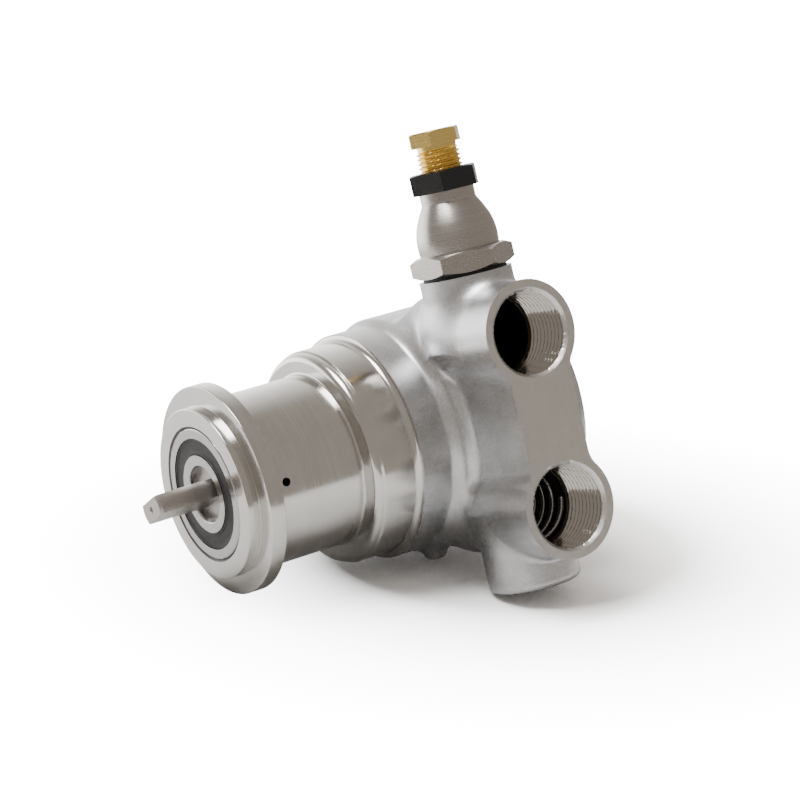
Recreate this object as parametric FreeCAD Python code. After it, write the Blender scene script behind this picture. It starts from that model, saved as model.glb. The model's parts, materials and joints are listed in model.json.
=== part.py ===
"""Stainless steel rotary vane pump with a clamp-on flange and an adjustable relief valve.

Sizes are in millimetres. X is the shaft's axis, with the drive tang towards -X and the
flange's front face at x = 0. The relief valve stands along +Z. The two ports open
towards -Y, with the outlet above the inlet.
"""

import os
from math import atan2, ceil, cos, hypot, pi, radians, sin, sqrt

import FreeCAD
import Part
from FreeCAD import Vector

X = Vector(1, 0, 0)
Y = Vector(0, 1, 0)
Z = Vector(0, 0, 1)
ORIGIN = Vector(0, 0, 0)

# Fits
RUNNING = 0.05
SLIDING = 0.04
SCREWED = 0.05
PRESSED = 0.0

# Ball bearing, 17 x 40 x 12
BEARING_BORE_R = 8.5
BEARING_R = 20.0
BEARING_WIDTH = 12.0
BALL_R = 3.37
BALL_PITCH_R = 14.25
BALL_COUNT = 8
RACE_PLAY = 0.08
INNER_LAND_R = 11.8
OUTER_LAND_R = 16.9
CAGE_THICKNESS = 2.0
CAGE_WIDTH = 8.4
BEARING_SEAL_THICKNESS = 1.0
BEARING_SEAL_RECESS = 0.25
BEARING_EDGE = 0.6

# Pilot, clamp flange and barrel
PILOT_R = 25.85
PILOT_LENGTH = 3.95
FLANGE_R = 31.75
FLANGE_THICKNESS = 5.05
FLANGE_EDGE = 0.35
BARREL_R = 26.4
BEARING_RECESS = 0.1

# Round housing behind the barrel
SHOULDER_X = 35.6
SHOULDER_HEIGHT = 6.05
SHOULDER_ROUND = 2.2
BARREL_FILLET = 0.8
RING_X = 38.1
RING_HEIGHT = 0.55
RING_LENGTH = 10.9
NECK_HEIGHT = 2.1
COVE_LENGTH = 1.9
HOUSING_X = 64.3
HOUSING_HEIGHT = 1.9
HOUSING_RAMP = 4.0
HOUSING_END = 110.5
HOUSING_ROUND = 2.0

# Stub of the casting's gate, under the housing
GATE_X = 66.0
GATE_Y = -5.0
GATE_R = 3.4
GATE_HEIGHT = 2.3
GATE_ROUND = 1.0

# Weep hole between the bearing and the shaft seal
WEEP_R = 1.3
WEEP_X = 9.75

# Port plate: two round bosses joined by a waisted web
PORT_X = 78.2
PORT_SPACING = 51.8
PORT_FACE_Y = -64.35
BOSS_R = 15.5
BOSS_BACK_R = 14.2
BOSS_END_Y = -13.0
BOSS_END_ROUND = 3.0
WEB_HALF_WIDTH = 10.6
WAIST_R = 8.0
THREAD_MINOR_R = 12.1
THREAD_DEPTH = 18.9
MOUTH_CHAMFER = 1.0
PORT_BORE_STEP = 0.3
PORT_BORE_WALL = 1.6
FEED_R = 5.5
FEED_Z = 20.0

# Relief valve column
VALVE_Y = -37.4
COLUMN_R = 13.95
COLUMN_TOP = 45.3
COLUMN_BOTTOM = -50.0
COLUMN_ROUND = 2.0
SEAT_Z = 13.0
SEAT_R = 5.0
SPOT_FACE_R = 7.6
VALVE_BORE_R = 9.0

# Bonnet
GASKET_THICKNESS = 0.9
GASKET_R = 12.6
BONNET_HEX = 27.0
BONNET_HEX_TURN = 33.0
BONNET_HEX_HEIGHT = 6.2
BONNET_NOSE_R = 10.0
BONNET_NOSE_LENGTH = 6.4
DOME_R = 12.1
DOME_HEIGHT = 6.0
NECK_TOP_R = 8.2
NECK_TOP_Z = 70.6
NECK_LENGTH = 3.4
SPRING_ROOM_R = 7.2
SPRING_ROOM_TOP = 66.4

# Relief poppet, spring and button
PISTON_R = 6.75
PISTON_TOP = 46.0
PISTON_LENGTH = 7.0
STEM_R = 3.6
HEAD_R = 6.4
POPPET_RING_WIRE = 1.1
RELIEF_WIRE = 1.7
RELIEF_MEAN_R = 5.3
RELIEF_TURNS = 4.5
BUTTON_R = 6.9
BUTTON_BOTTOM = 59.5
BUTTON_THICKNESS = 3.0

# Adjusting screw and lock nut, 1/4-inch pipe thread
SCREW_R = 6.55
HEAD_HEX = 14.0
HEAD_HEX_TURN = 49.0
HEAD_BOTTOM = 84.2
HEAD_TOP = 88.6
SCREW_RELIEF_R = 5.9
SCREW_RELIEF = 0.9
NUT_HEX = 19.0
NUT_HEX_TURN = 53.0
NUT_HEIGHT = 6.1
NUT_SEAL_R = 7.9
NUT_SEAL_THICKNESS = 1.0

# Shaft
SHAFT_R = 8.0
COLLAR_R = 10.0
COLLAR_LENGTH = 3.0
SHAFT_FACE_X = -1.2
TANG_END_X = -21.5
TANG_R = 6.35
TANG_THICKNESS = 5.7
TANG_TURN = -18.5
TANG_CHAMFER = 0.9
CENTRE_HOLE_R = 1.0
CENTRE_HOLE_DEPTH = 3.0
FLATS = 12.0
REAR_JOURNAL_R = 5.95
REAR_JOURNAL_LENGTH = 5.8

# Shaft seal
WEEP_ROOM_R = 17.2
WEEP_ROOM_END = 12.0
SEAL_WALL_END = 15.0
SEAL_WALL_BORE_R = 10.0
SEAT_BORE_R = 14.5
SEAT_RING_R = 12.0
SEAT_RING_BORE_R = 9.0
SEAT_RING_FACE_X = 22.0
SEAL_ROOM_R = 18.0
SEAL_FACE_LENGTH = 4.4
BELLOWS_LENGTH = 14.4
BELLOWS_WALL = 1.7
SEAL_WIRE = 1.3
SEAL_MEAN_R = 11.1
SEAL_TURNS = 4.5
CLIP_THICKNESS = 1.4
CLIP_R = 12.2
CLIP_GROOVE = 0.75

# Pumping cartridge
CARTRIDGE_X = 58.0
CARTRIDGE_R = 27.0
PLATE_THICKNESS = 8.0
PLATE_GROOVE_WIDTH = 4.0
PLATE_GROOVE_DEPTH = 2.0
CAM_LENGTH = 24.0
CAM_MAJOR_R = 20.4
CAM_MINOR_R = 18.1
WINDOW_R = 4.5
ROTOR_R = 17.9
ROTOR_PLAY = 0.05
VANE_COUNT = 6
VANE_THICKNESS = 3.0
VANE_HEIGHT = 7.4
SLOT_PLAY = 0.05
SLOT_BOTTOM_PLAY = 0.3
PIN_R = 2.0
PIN_DEPTH = 5.0

# End cover and its retaining ring
COVER_THICKNESS = 7.2
COVER_RECESS_R = 15.0
COVER_RECESS = 1.6
COVER_RING_WIRE = 2.4
COVER_RING_X = 3.2
CLIP_RING_THICKNESS = 1.7
CLIP_RING_OUTER_R = 28.5
CLIP_RING_WIDTH = 3.3
CLIP_RING_GAP = 30.0
CLIP_RING_EYE_R = 1.1
CLIP_RING_LUG_R = 2.6
END_BORE_R = 27.4

# Strainer in the inlet
STRAINER_PLAY = 0.3
SCREEN_DEPTH = 3.2
SCREEN_WALL = 0.6
SCREEN_HOLE_R = 0.9
SCREEN_HOLE_SPACING = 2.9
STRAINER_WIRE = 1.6
STRAINER_TURNS = 3.5

# Places that follow from the sizes above
BEARING_FRONT = -PILOT_LENGTH + BEARING_RECESS
BEARING_BACK = BEARING_FRONT + BEARING_WIDTH
BEARING_MIDDLE = (BEARING_FRONT + BEARING_BACK) / 2
SHOULDER_R = BARREL_R + SHOULDER_HEIGHT
RING_R = SHOULDER_R + RING_HEIGHT
RING_END = RING_X + RING_LENGTH
NECK_R = RING_R + NECK_HEIGHT
HOUSING_R = NECK_R + HOUSING_HEIGHT
PORT_TOP_Z = PORT_SPACING / 2
PORT_BORE_R = THREAD_MINOR_R - PORT_BORE_STEP
PORT_BORE_END_Y = -sqrt(CARTRIDGE_R**2 - (PORT_TOP_Z - PORT_BORE_R) ** 2) - PORT_BORE_WALL
SCREEN_R = PORT_BORE_R - STRAINER_PLAY
STRAINER_MEAN_R = SCREEN_R - STRAINER_WIRE / 2
PIN_CIRCLE_R = (CAM_MINOR_R + CARTRIDGE_R) / 2
THREAD_END_Y = PORT_FACE_Y + THREAD_DEPTH
CAM_X = CARTRIDGE_X + PLATE_THICKNESS
CAM_END = CAM_X + CAM_LENGTH
COVER_X = CAM_END + PLATE_THICKNESS
COVER_END = COVER_X + COVER_THICKNESS
CLIP_RING_INNER_R = CLIP_RING_OUTER_R - CLIP_RING_WIDTH
CLIP_RING_X = COVER_END + SLIDING
CLIP_RING_END = CLIP_RING_X + CLIP_RING_THICKNESS
CAM_MIDDLE = (CAM_X + CAM_END) / 2
GASKET_TOP = COLUMN_TOP + GASKET_THICKNESS
HEX_TOP = GASKET_TOP + BONNET_HEX_HEIGHT
NOSE_BOTTOM = COLUMN_TOP - BONNET_NOSE_LENGTH
BUTTON_TOP = BUTTON_BOTTOM + BUTTON_THICKNESS
NUT_TOP = NECK_TOP_Z + NUT_HEIGHT
BELLOWS_X = SEAT_RING_FACE_X + SEAL_FACE_LENGTH
CLIP_X = BELLOWS_X + BELLOWS_LENGTH
CLIP_END = CLIP_X + CLIP_THICKNESS
VALVE = Vector(PORT_X, VALVE_Y, 0)


def along_x(x0, x1, r, hole=0.0):
    """A cylinder or a ring on the shaft's axis."""
    solid = Part.makeCylinder(r, x1 - x0, Vector(x0, 0, 0), X)
    if hole:
        solid = solid.cut(Part.makeCylinder(hole, x1 - x0 + 2, Vector(x0 - 1, 0, 0), X))
    return solid


def upright(z0, z1, r, hole=0.0):
    """A cylinder or a ring on the relief valve's axis."""
    solid = Part.makeCylinder(r, z1 - z0, VALVE + Vector(0, 0, z0), Z)
    if hole:
        solid = solid.cut(Part.makeCylinder(hole, z1 - z0 + 2, VALVE + Vector(0, 0, z0 - 1), Z))
    return solid


def inward(y0, y1, r, z):
    """A cylinder along a port's axis."""
    return Part.makeCylinder(r, y1 - y0, Vector(PORT_X, y0, z), Y)


def turned_x(points):
    """A solid turned on the shaft's axis from (x, radius) corners."""
    face = Part.Face(Part.makePolygon([Vector(x, r, 0) for x, r in points + points[:1]]))
    return face.revolve(ORIGIN, X, 360)


def turned_z(points):
    """A solid turned on the relief valve's axis from (radius, z) corners."""
    face = Part.Face(Part.makePolygon([Vector(r, 0, z) for r, z in points + points[:1]]))
    return face.revolve(ORIGIN, Z, 360).translated(VALVE)


def hexagon(across_flats, turn, z0, z1):
    """A hexagonal bar on the relief valve's axis, with a corner at the angle turn."""
    corner = across_flats / 2 / cos(pi / 6)
    points = [
        Vector(corner * cos(radians(turn + 60 * i)), corner * sin(radians(turn + 60 * i)), z0)
        for i in range(7)
    ]
    return Part.Face(Part.makePolygon(points)).extrude(Vector(0, 0, z1 - z0)).translated(VALVE)


def chamfered_hexagon(across_flats, turn, z0, z1, below, above, slope=0.5):
    """A hexagonal bar whose corners are turned off at the ends, as on a nut."""
    corner = across_flats / 2 / cos(pi / 6)
    cut = corner - across_flats / 2 + 0.15
    low = (z0 + cut * slope) if below else z0
    high = (z1 - cut * slope) if above else z1
    points = [(0, z0), (corner - cut if below else corner, z0), (corner, low), (corner, high)]
    points += [(corner - cut if above else corner, z1), (0, z1)]
    corners = [p for i, p in enumerate(points) if p not in points[:i]]
    return hexagon(across_flats, turn, z0, z1).common(turned_z(corners))


def rims(solid, wanted, axis):
    """The circular edges of a turned solid, found by their place on the axis and radius."""
    found = []
    for edge in solid.Edges:
        if edge.Curve.TypeId != "Part::GeomCircle":
            continue
        centre = edge.Curve.Center
        place = centre.x if axis == "x" else centre.z
        for at, radius in wanted:
            if abs(place - at) < 0.01 and abs(edge.Curve.Radius - radius) < 0.01:
                found.append(edge)
    return found


def coil(mean_r, wire, length, turns):
    """A compression spring along +Z that fills the length from z = 0."""
    rise = length - wire
    path = Part.Wire(Part.makeLongHelix(rise / turns, rise, mean_r))
    section = Part.Wire(Part.makeCircle(wire / 2, Vector(mean_r, 0, 0), Y))
    return path.makePipeShell([section], True, True).translated(Vector(0, 0, wire / 2))


def ellipse_bar(major, minor, x0, x1):
    """A bar of elliptical section on the shaft's axis, widest along Y."""
    curve = Part.Ellipse(Vector(x0, major, 0), Vector(x0, 0, minor), Vector(x0, 0, 0))
    return Part.Face(Part.Wire(curve.toShape())).extrude(Vector(x1 - x0, 0, 0))


def port_outline(y, boss_r):
    """The waisted outline of the port plate at one depth: two bosses joined by a web."""
    reach = boss_r + WAIST_R
    side = WEB_HALF_WIDTH + WAIST_R
    waist_z = PORT_TOP_Z - sqrt(reach**2 - side**2)
    turn = atan2(PORT_TOP_Z - waist_z, side)
    touch = Vector(side - WAIST_R * cos(turn), 0, waist_z + WAIST_R * sin(turn))
    bend = Vector(side - WAIST_R * cos(turn / 2), 0, waist_z + WAIST_R * sin(turn / 2))
    corner = Vector(WEB_HALF_WIDTH, 0, waist_z)
    crown = Vector(0, 0, PORT_TOP_Z + boss_r)

    def at(v, sx, sz):
        return Vector(PORT_X + sx * v.x, y, sz * v.z)

    edges = []
    for sx, sz in ((1, 1), (-1, 1), (-1, -1), (1, -1)):
        edges.append(Part.Arc(at(corner, sx, sz), at(bend, sx, sz), at(touch, sx, sz)).toShape())
    edges.append(Part.makeLine(at(corner, 1, 1), at(corner, 1, -1)))
    edges.append(Part.makeLine(at(corner, -1, 1), at(corner, -1, -1)))
    for sz in (1, -1):
        edges.append(Part.Arc(at(touch, 1, sz), at(crown, 1, sz), at(touch, -1, sz)).toShape())
    return Part.Wire(Part.__sortEdges__(edges))


def port_plate():
    """The port plate, drafted from its milled face back into the housing."""
    outlines = [port_outline(PORT_FACE_Y, BOSS_R), port_outline(BOSS_END_Y, BOSS_BACK_R)]
    plate = Part.makeLoft(outlines, True, True)
    back = [e for e in plate.Edges if abs(e.BoundBox.YMin - BOSS_END_Y) < 0.01]
    return plate.makeFillet(BOSS_END_ROUND, back)


def housing_blank():
    """The outside of the casting: a turned body, the port plate and the valve column."""
    outline = [
        (-PILOT_LENGTH, 0),
        (-PILOT_LENGTH, PILOT_R),
        (0, PILOT_R),
        (0, FLANGE_R),
        (FLANGE_THICKNESS, FLANGE_R),
        (FLANGE_THICKNESS, BARREL_R),
        (SHOULDER_X, BARREL_R),
        (SHOULDER_X, SHOULDER_R),
        (RING_X, SHOULDER_R),
        (RING_X + RING_HEIGHT, RING_R),
        (RING_END, RING_R),
        (RING_END + COVE_LENGTH, NECK_R),
        (HOUSING_X - HOUSING_RAMP, NECK_R),
        (HOUSING_X, HOUSING_R),
        (HOUSING_END, HOUSING_R),
        (HOUSING_END, 0),
    ]
    body = turned_x(outline)
    body = body.makeFillet(SHOULDER_ROUND, rims(body, [(SHOULDER_X, SHOULDER_R)], "x"))
    body = body.makeFillet(BARREL_FILLET, rims(body, [(SHOULDER_X, BARREL_R)], "x"))
    edges = [(-PILOT_LENGTH, PILOT_R), (0, FLANGE_R), (FLANGE_THICKNESS, FLANGE_R)]
    body = body.makeChamfer(FLANGE_EDGE, rims(body, edges, "x"))
    body = body.makeFillet(HOUSING_ROUND, rims(body, [(HOUSING_END, HOUSING_R)], "x"))
    upper = upright(PORT_TOP_Z, COLUMN_TOP, COLUMN_R)
    lower = upright(COLUMN_BOTTOM, -PORT_TOP_Z, COLUMN_R)
    lower = lower.makeFillet(COLUMN_ROUND, rims(lower, [(COLUMN_BOTTOM, COLUMN_R)], "z"))
    gate_end = -HOUSING_R - GATE_HEIGHT
    gate = Part.makeCylinder(GATE_R, GATE_HEIGHT + GATE_R, Vector(GATE_X, GATE_Y, gate_end), Z)
    gate = gate.makeFillet(GATE_ROUND, rims(gate, [(gate_end, GATE_R)], "z"))
    return body.fuse([port_plate(), upper, lower, gate]).removeSplitter()


def port_tool(z):
    """The chamfered bore of one port and its feed into the cartridge."""
    mouth = THREAD_MINOR_R + MOUTH_CHAMFER
    chamfer = Part.makeCone(mouth, THREAD_MINOR_R, MOUTH_CHAMFER, Vector(PORT_X, PORT_FACE_Y, z), Y)
    thread = inward(PORT_FACE_Y, THREAD_END_Y, THREAD_MINOR_R, z)
    bore = inward(THREAD_END_Y, PORT_BORE_END_Y, PORT_BORE_R, z)
    feed = inward(PORT_BORE_END_Y - 1, -CARTRIDGE_R / 2, FEED_R, FEED_Z if z > 0 else -FEED_Z)
    return thread.fuse([chamfer, bore, feed])


def pump_body():
    rooms = [
        along_x(-PILOT_LENGTH - 1, BEARING_BACK, BEARING_R),
        along_x(BEARING_BACK, WEEP_ROOM_END, WEEP_ROOM_R),
        along_x(WEEP_ROOM_END, SEAL_WALL_END, SEAL_WALL_BORE_R),
        along_x(SEAL_WALL_END, SEAT_RING_FACE_X, SEAT_BORE_R),
        along_x(SEAT_RING_FACE_X, CARTRIDGE_X, SEAL_ROOM_R),
        along_x(CARTRIDGE_X, CLIP_RING_X - SLIDING, CARTRIDGE_R),
        along_x(CLIP_RING_X - SLIDING, CLIP_RING_END + SLIDING, CLIP_RING_OUTER_R + SLIDING),
        along_x(CLIP_RING_END + SLIDING, HOUSING_END + 1, END_BORE_R),
    ]
    shaft_tool = rooms[0].fuse(rooms[1:])
    entry = Part.makeCone(BEARING_R + BEARING_EDGE, BEARING_R, BEARING_EDGE, Vector(-PILOT_LENGTH, 0, 0), X)
    weep = Part.makeCylinder(WEEP_R, BARREL_R - WEEP_ROOM_R + 3, Vector(WEEP_X, -BARREL_R - 1, 0), Y)
    valve_tool = upright(-PORT_TOP_Z, SEAT_Z, SEAT_R).fuse(
        [
            upright(SEAT_Z, PORT_TOP_Z, SPOT_FACE_R),
            upright(PORT_TOP_Z, NOSE_BOTTOM, VALVE_BORE_R),
            upright(NOSE_BOTTOM, COLUMN_TOP + 1, BONNET_NOSE_R + SCREWED),
        ]
    )
    ports = port_tool(PORT_TOP_Z).fuse(port_tool(-PORT_TOP_Z))
    return housing_blank().cut([shaft_tool, entry, weep, valve_tool, ports])


def race(inner, outer, seat_r):
    """One ring of the bearing, with its raceway and its seat's rounded corners."""
    ring = along_x(BEARING_FRONT, BEARING_BACK, outer, inner)
    ring = ring.makeFillet(BEARING_EDGE, rims(ring, [(BEARING_FRONT, seat_r), (BEARING_BACK, seat_r)], "x"))
    return ring.cut(Part.makeTorus(BALL_PITCH_R, BALL_R + RACE_PLAY, Vector(BEARING_MIDDLE, 0, 0), X))


def balls():
    """The bearing's balls, evenly spaced on their pitch circle."""
    spheres = []
    for i in range(BALL_COUNT):
        a = 2 * pi * i / BALL_COUNT
        centre = Vector(BEARING_MIDDLE, BALL_PITCH_R * cos(a), BALL_PITCH_R * sin(a))
        spheres.append(Part.makeSphere(BALL_R, centre))
    return Part.makeCompound(spheres)


def cage():
    """A ring with one round pocket for each ball."""
    x0 = BEARING_MIDDLE - CAGE_WIDTH / 2
    half = CAGE_THICKNESS / 2
    ring = along_x(x0, x0 + CAGE_WIDTH, BALL_PITCH_R + half, BALL_PITCH_R - half)
    pockets = []
    for i in range(BALL_COUNT):
        a = 2 * pi * i / BALL_COUNT
        out = Vector(0, cos(a), sin(a))
        start = Vector(BEARING_MIDDLE, 0, 0) + out * (BALL_PITCH_R - 2 * half)
        pockets.append(Part.makeCylinder(BALL_R + RACE_PLAY, 4 * half, start, out))
    return ring.cut(pockets)


def bearing_seals():
    """The two rubber seals, held in the outer ring and clear of the inner ring."""
    front = BEARING_FRONT + BEARING_SEAL_RECESS
    back = BEARING_BACK - BEARING_SEAL_RECESS
    thick = BEARING_SEAL_THICKNESS
    hole = INNER_LAND_R + RUNNING
    return Part.makeCompound(
        [
            along_x(front, front + thick, OUTER_LAND_R, hole),
            along_x(back - thick, back, OUTER_LAND_R, hole),
        ]
    )


def drive_shaft():
    """The tang, the bearing journal, the collar and the long journal through the pump."""
    corner = 2 * TANG_R
    bar = along_x(TANG_END_X, SHAFT_FACE_X, TANG_R)
    bar = bar.makeChamfer(TANG_CHAMFER, rims(bar, [(TANG_END_X, TANG_R)], "x"))
    slab = Part.makeBox(
        SHAFT_FACE_X - TANG_END_X + 1,
        2 * corner,
        TANG_THICKNESS,
        Vector(TANG_END_X, -corner, -TANG_THICKNESS / 2),
    )
    slab.rotate(ORIGIN, X, TANG_TURN)
    hole = Part.makeCone(
        CENTRE_HOLE_R, 0.2 * CENTRE_HOLE_R, CENTRE_HOLE_DEPTH, Vector(TANG_END_X, 0, 0), X
    )
    tang = bar.common(slab).cut(hole)
    drive = along_x(CAM_X, CAM_END, SHAFT_R).common(
        Part.makeBox(
            CAM_LENGTH, FLATS, 2 * SHAFT_R, Vector(CAM_X, -FLATS / 2, -SHAFT_R)
        )
    )
    groove_r = SHAFT_R - CLIP_GROOVE
    pieces = [
        along_x(SHAFT_FACE_X, BEARING_BACK, BEARING_BORE_R - PRESSED),
        along_x(BEARING_BACK, BEARING_BACK + COLLAR_LENGTH, COLLAR_R),
        along_x(BEARING_BACK + COLLAR_LENGTH, CLIP_X, SHAFT_R),
        along_x(CLIP_X, CLIP_END, groove_r),
        along_x(CLIP_END, CAM_X, SHAFT_R),
        drive,
        along_x(CAM_END, CAM_END + REAR_JOURNAL_LENGTH, REAR_JOURNAL_R),
    ]
    return tang.fuse(pieces).removeSplitter()


def seal_seat():
    return along_x(SEAL_WALL_END, SEAT_RING_FACE_X, SEAT_RING_R, SEAT_RING_BORE_R)


def seat_oring():
    middle = (SEAL_WALL_END + SEAT_RING_FACE_X) / 2
    wire_r = (SEAT_BORE_R - SEAT_RING_R) / 2
    return Part.makeTorus(SEAT_RING_R + wire_r, wire_r, Vector(middle, 0, 0), X)


def seal_face():
    return along_x(SEAT_RING_FACE_X, BELLOWS_X, SEAT_RING_R, SHAFT_R)


def seal_bellows():
    """A rubber sleeve on the shaft, with a flange behind the carbon ring."""
    sleeve_r = SHAFT_R + BELLOWS_WALL
    outline = [
        (BELLOWS_X, SHAFT_R),
        (BELLOWS_X, SEAT_RING_R),
        (BELLOWS_X + BELLOWS_WALL, SEAT_RING_R),
        (BELLOWS_X + BELLOWS_WALL, sleeve_r),
        (CLIP_X, sleeve_r),
        (CLIP_X, SHAFT_R),
    ]
    return turned_x(outline)


def seal_spring():
    length = CLIP_X - BELLOWS_X - BELLOWS_WALL
    spring = coil(SEAL_MEAN_R, SEAL_WIRE, length, SEAL_TURNS)
    spring.rotate(ORIGIN, Y, 90)
    return spring.translated(Vector(BELLOWS_X + BELLOWS_WALL, 0, 0))


def shaft_clip():
    """An open washer snapped into the shaft's groove."""
    groove_r = SHAFT_R - CLIP_GROOVE
    washer = along_x(CLIP_X, CLIP_END, CLIP_R, groove_r)
    mouth = Part.makeBox(CLIP_THICKNESS, 1.6 * groove_r, 2 * CLIP_R, Vector(CLIP_X, -0.8 * groove_r, 0))
    return washer.cut(mouth)


def plate(x0, journal_r):
    """A carbon bearing plate with a groove round its rim and holes for the pins."""
    disc = along_x(x0, x0 + PLATE_THICKNESS, CARTRIDGE_R - SLIDING, journal_r + RUNNING)
    g0 = x0 + (PLATE_THICKNESS - PLATE_GROOVE_WIDTH) / 2
    rim_r = CARTRIDGE_R + 1
    groove = along_x(g0, g0 + PLATE_GROOVE_WIDTH, rim_r, CARTRIDGE_R - PLATE_GROOVE_DEPTH)
    return disc.cut([groove] + pins(PRESSED))


def pins(play):
    """Two pins that line up the plates and the cam ring."""
    start = CAM_X - PIN_DEPTH
    length = CAM_LENGTH + 2 * PIN_DEPTH
    return [
        Part.makeCylinder(PIN_R + play, length, Vector(start, 0, side * PIN_CIRCLE_R), X)
        for side in (-1, 1)
    ]


def front_plate():
    return plate(CARTRIDGE_X, SHAFT_R)


def rear_plate():
    return plate(CAM_END, REAR_JOURNAL_R)


def cam_ring():
    """The ring round the rotor: its bore has two lobes, with a window beside each end."""
    ring = along_x(CAM_X, CAM_END, CARTRIDGE_R - SLIDING)
    windows = []
    for i in range(4):
        a = radians(45 + 90 * i)
        windows.append(
            Part.makeCylinder(WINDOW_R, CARTRIDGE_R, Vector(CAM_MIDDLE, 0, 0), Vector(0, cos(a), sin(a)))
        )
    bore = ellipse_bar(CAM_MAJOR_R, CAM_MINOR_R, CAM_X - 1, CAM_END + 1)
    return ring.cut([bore] + windows + pins(PRESSED))


def rotor():
    """A slotted drum on the shaft's flats."""
    drum = along_x(CAM_X + ROTOR_PLAY, CAM_END - ROTOR_PLAY, ROTOR_R)
    play = SLIDING
    bore = along_x(CAM_X - 1, CAM_END + 1, SHAFT_R + play).common(
        Part.makeBox(
            CAM_LENGTH + 2,
            FLATS + 2 * play,
            3 * SHAFT_R,
            Vector(CAM_X - 1, -FLATS / 2 - play, -1.5 * SHAFT_R),
        )
    )
    width = VANE_THICKNESS + 2 * SLOT_PLAY
    bottom = ROTOR_R - VANE_HEIGHT - SLOT_BOTTOM_PLAY
    slots = []
    for i in range(VANE_COUNT):
        slot = Part.makeBox(
            CAM_LENGTH + 2, ROTOR_R - bottom + 1, width, Vector(CAM_X - 1, bottom, -width / 2)
        )
        slot.rotate(ORIGIN, X, 360 * i / VANE_COUNT)
        slots.append(slot)
    return drum.cut([bore] + slots)


def vane(i):
    """One flat vane with a round tip, drawn in flush with the rotor."""
    length = CAM_LENGTH - 2 * ROTOR_PLAY
    half = VANE_THICKNESS / 2
    root = ROTOR_R - VANE_HEIGHT
    x0 = CAM_X + ROTOR_PLAY
    blade = Part.makeBox(length, VANE_HEIGHT - half, VANE_THICKNESS, Vector(x0, root, -half))
    tip = Part.makeCylinder(half, length, Vector(x0, ROTOR_R - half, 0), X)
    blade = blade.fuse(tip).removeSplitter()
    blade.rotate(ORIGIN, X, 360 * i / VANE_COUNT)
    return blade


def end_cover():
    """The round cover behind the cartridge, with its ring groove and a shallow recess."""
    r = CARTRIDGE_R - SLIDING
    g0 = COVER_X + COVER_RING_X - COVER_RING_WIRE / 2
    g1 = g0 + COVER_RING_WIRE
    outline = [
        (COVER_X, 0),
        (COVER_X, r),
        (g0, r),
        (g0, CARTRIDGE_R - COVER_RING_WIRE),
        (g1, CARTRIDGE_R - COVER_RING_WIRE),
        (g1, r),
        (COVER_END, r),
        (COVER_END, COVER_RECESS_R),
        (COVER_END - COVER_RECESS, COVER_RECESS_R - COVER_RECESS),
        (COVER_END - COVER_RECESS, 0),
    ]
    return turned_x(outline)


def cover_oring():
    wire_r = COVER_RING_WIRE / 2
    return Part.makeTorus(CARTRIDGE_R - wire_r, wire_r, Vector(COVER_X + COVER_RING_X, 0, 0), X)


def retaining_ring():
    """An inside snap ring, open at the bottom, with an eye in each end."""
    ring = along_x(CLIP_RING_X, CLIP_RING_END, CLIP_RING_OUTER_R, CLIP_RING_INNER_R)
    half = radians(CLIP_RING_GAP / 2)
    reach = 2 * CLIP_RING_OUTER_R
    corners = [
        Vector(CLIP_RING_X - 1, 0, 0),
        Vector(CLIP_RING_X - 1, reach * sin(half), -reach * cos(half)),
        Vector(CLIP_RING_X - 1, -reach * sin(half), -reach * cos(half)),
        Vector(CLIP_RING_X - 1, 0, 0),
    ]
    gap = Part.Face(Part.makePolygon(corners)).extrude(Vector(CLIP_RING_THICKNESS + 2, 0, 0))
    lug_at = CLIP_RING_OUTER_R - CLIP_RING_LUG_R
    turn = half + CLIP_RING_LUG_R / lug_at
    lugs = []
    eyes = []
    for side in (-1, 1):
        centre = Vector(CLIP_RING_X, side * lug_at * sin(turn), -lug_at * cos(turn))
        lugs.append(Part.makeCylinder(CLIP_RING_LUG_R, CLIP_RING_THICKNESS, centre, X))
        eyes.append(Part.makeCylinder(CLIP_RING_EYE_R, CLIP_RING_THICKNESS, centre, X))
    return ring.cut(gap).fuse(lugs).cut(eyes).removeSplitter()


def bonnet():
    """The relief valve's cap: nose, hexagon, turned dome and neck, bored for the spring."""
    hexagon_part = chamfered_hexagon(BONNET_HEX, BONNET_HEX_TURN, GASKET_TOP, HEX_TOP, True, True)
    neck_base = NECK_TOP_Z - NECK_LENGTH
    widest = HEX_TOP + DOME_HEIGHT / 2
    side = Part.BSplineCurve()
    side.interpolate(
        [
            Vector(DOME_R - 0.25, 0, HEX_TOP - 0.3),
            Vector(DOME_R, 0, widest),
            Vector(0.94 * DOME_R, 0, HEX_TOP + 0.55 * (neck_base - HEX_TOP)),
            Vector((DOME_R + NECK_TOP_R) / 2 - 0.35, 0, HEX_TOP + 0.8 * (neck_base - HEX_TOP)),
            Vector(NECK_TOP_R, 0, neck_base),
        ]
    )
    corners = [
        Vector(NECK_TOP_R, 0, neck_base),
        Vector(NECK_TOP_R, 0, NECK_TOP_Z),
        Vector(0, 0, NECK_TOP_Z),
        Vector(0, 0, HEX_TOP - 0.3),
        Vector(DOME_R - 0.25, 0, HEX_TOP - 0.3),
    ]
    wire = Part.Wire([side.toShape()] + Part.makePolygon(corners).Edges)
    dome = Part.Face(wire).revolve(ORIGIN, Z, 360).translated(VALVE)
    nose = upright(NOSE_BOTTOM, GASKET_TOP, BONNET_NOSE_R)
    guide = upright(NOSE_BOTTOM - 1, PISTON_TOP + 1, PISTON_R + RUNNING)
    room = upright(PISTON_TOP + 1, SPRING_ROOM_TOP, SPRING_ROOM_R)
    thread = upright(SPRING_ROOM_TOP - 1, NECK_TOP_Z + 1, SCREW_R + SCREWED)
    return hexagon_part.fuse([dome, nose]).cut([guide, room, thread])


def bonnet_gasket():
    return upright(COLUMN_TOP, GASKET_TOP, GASKET_R, BONNET_NOSE_R + SCREWED)


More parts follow.
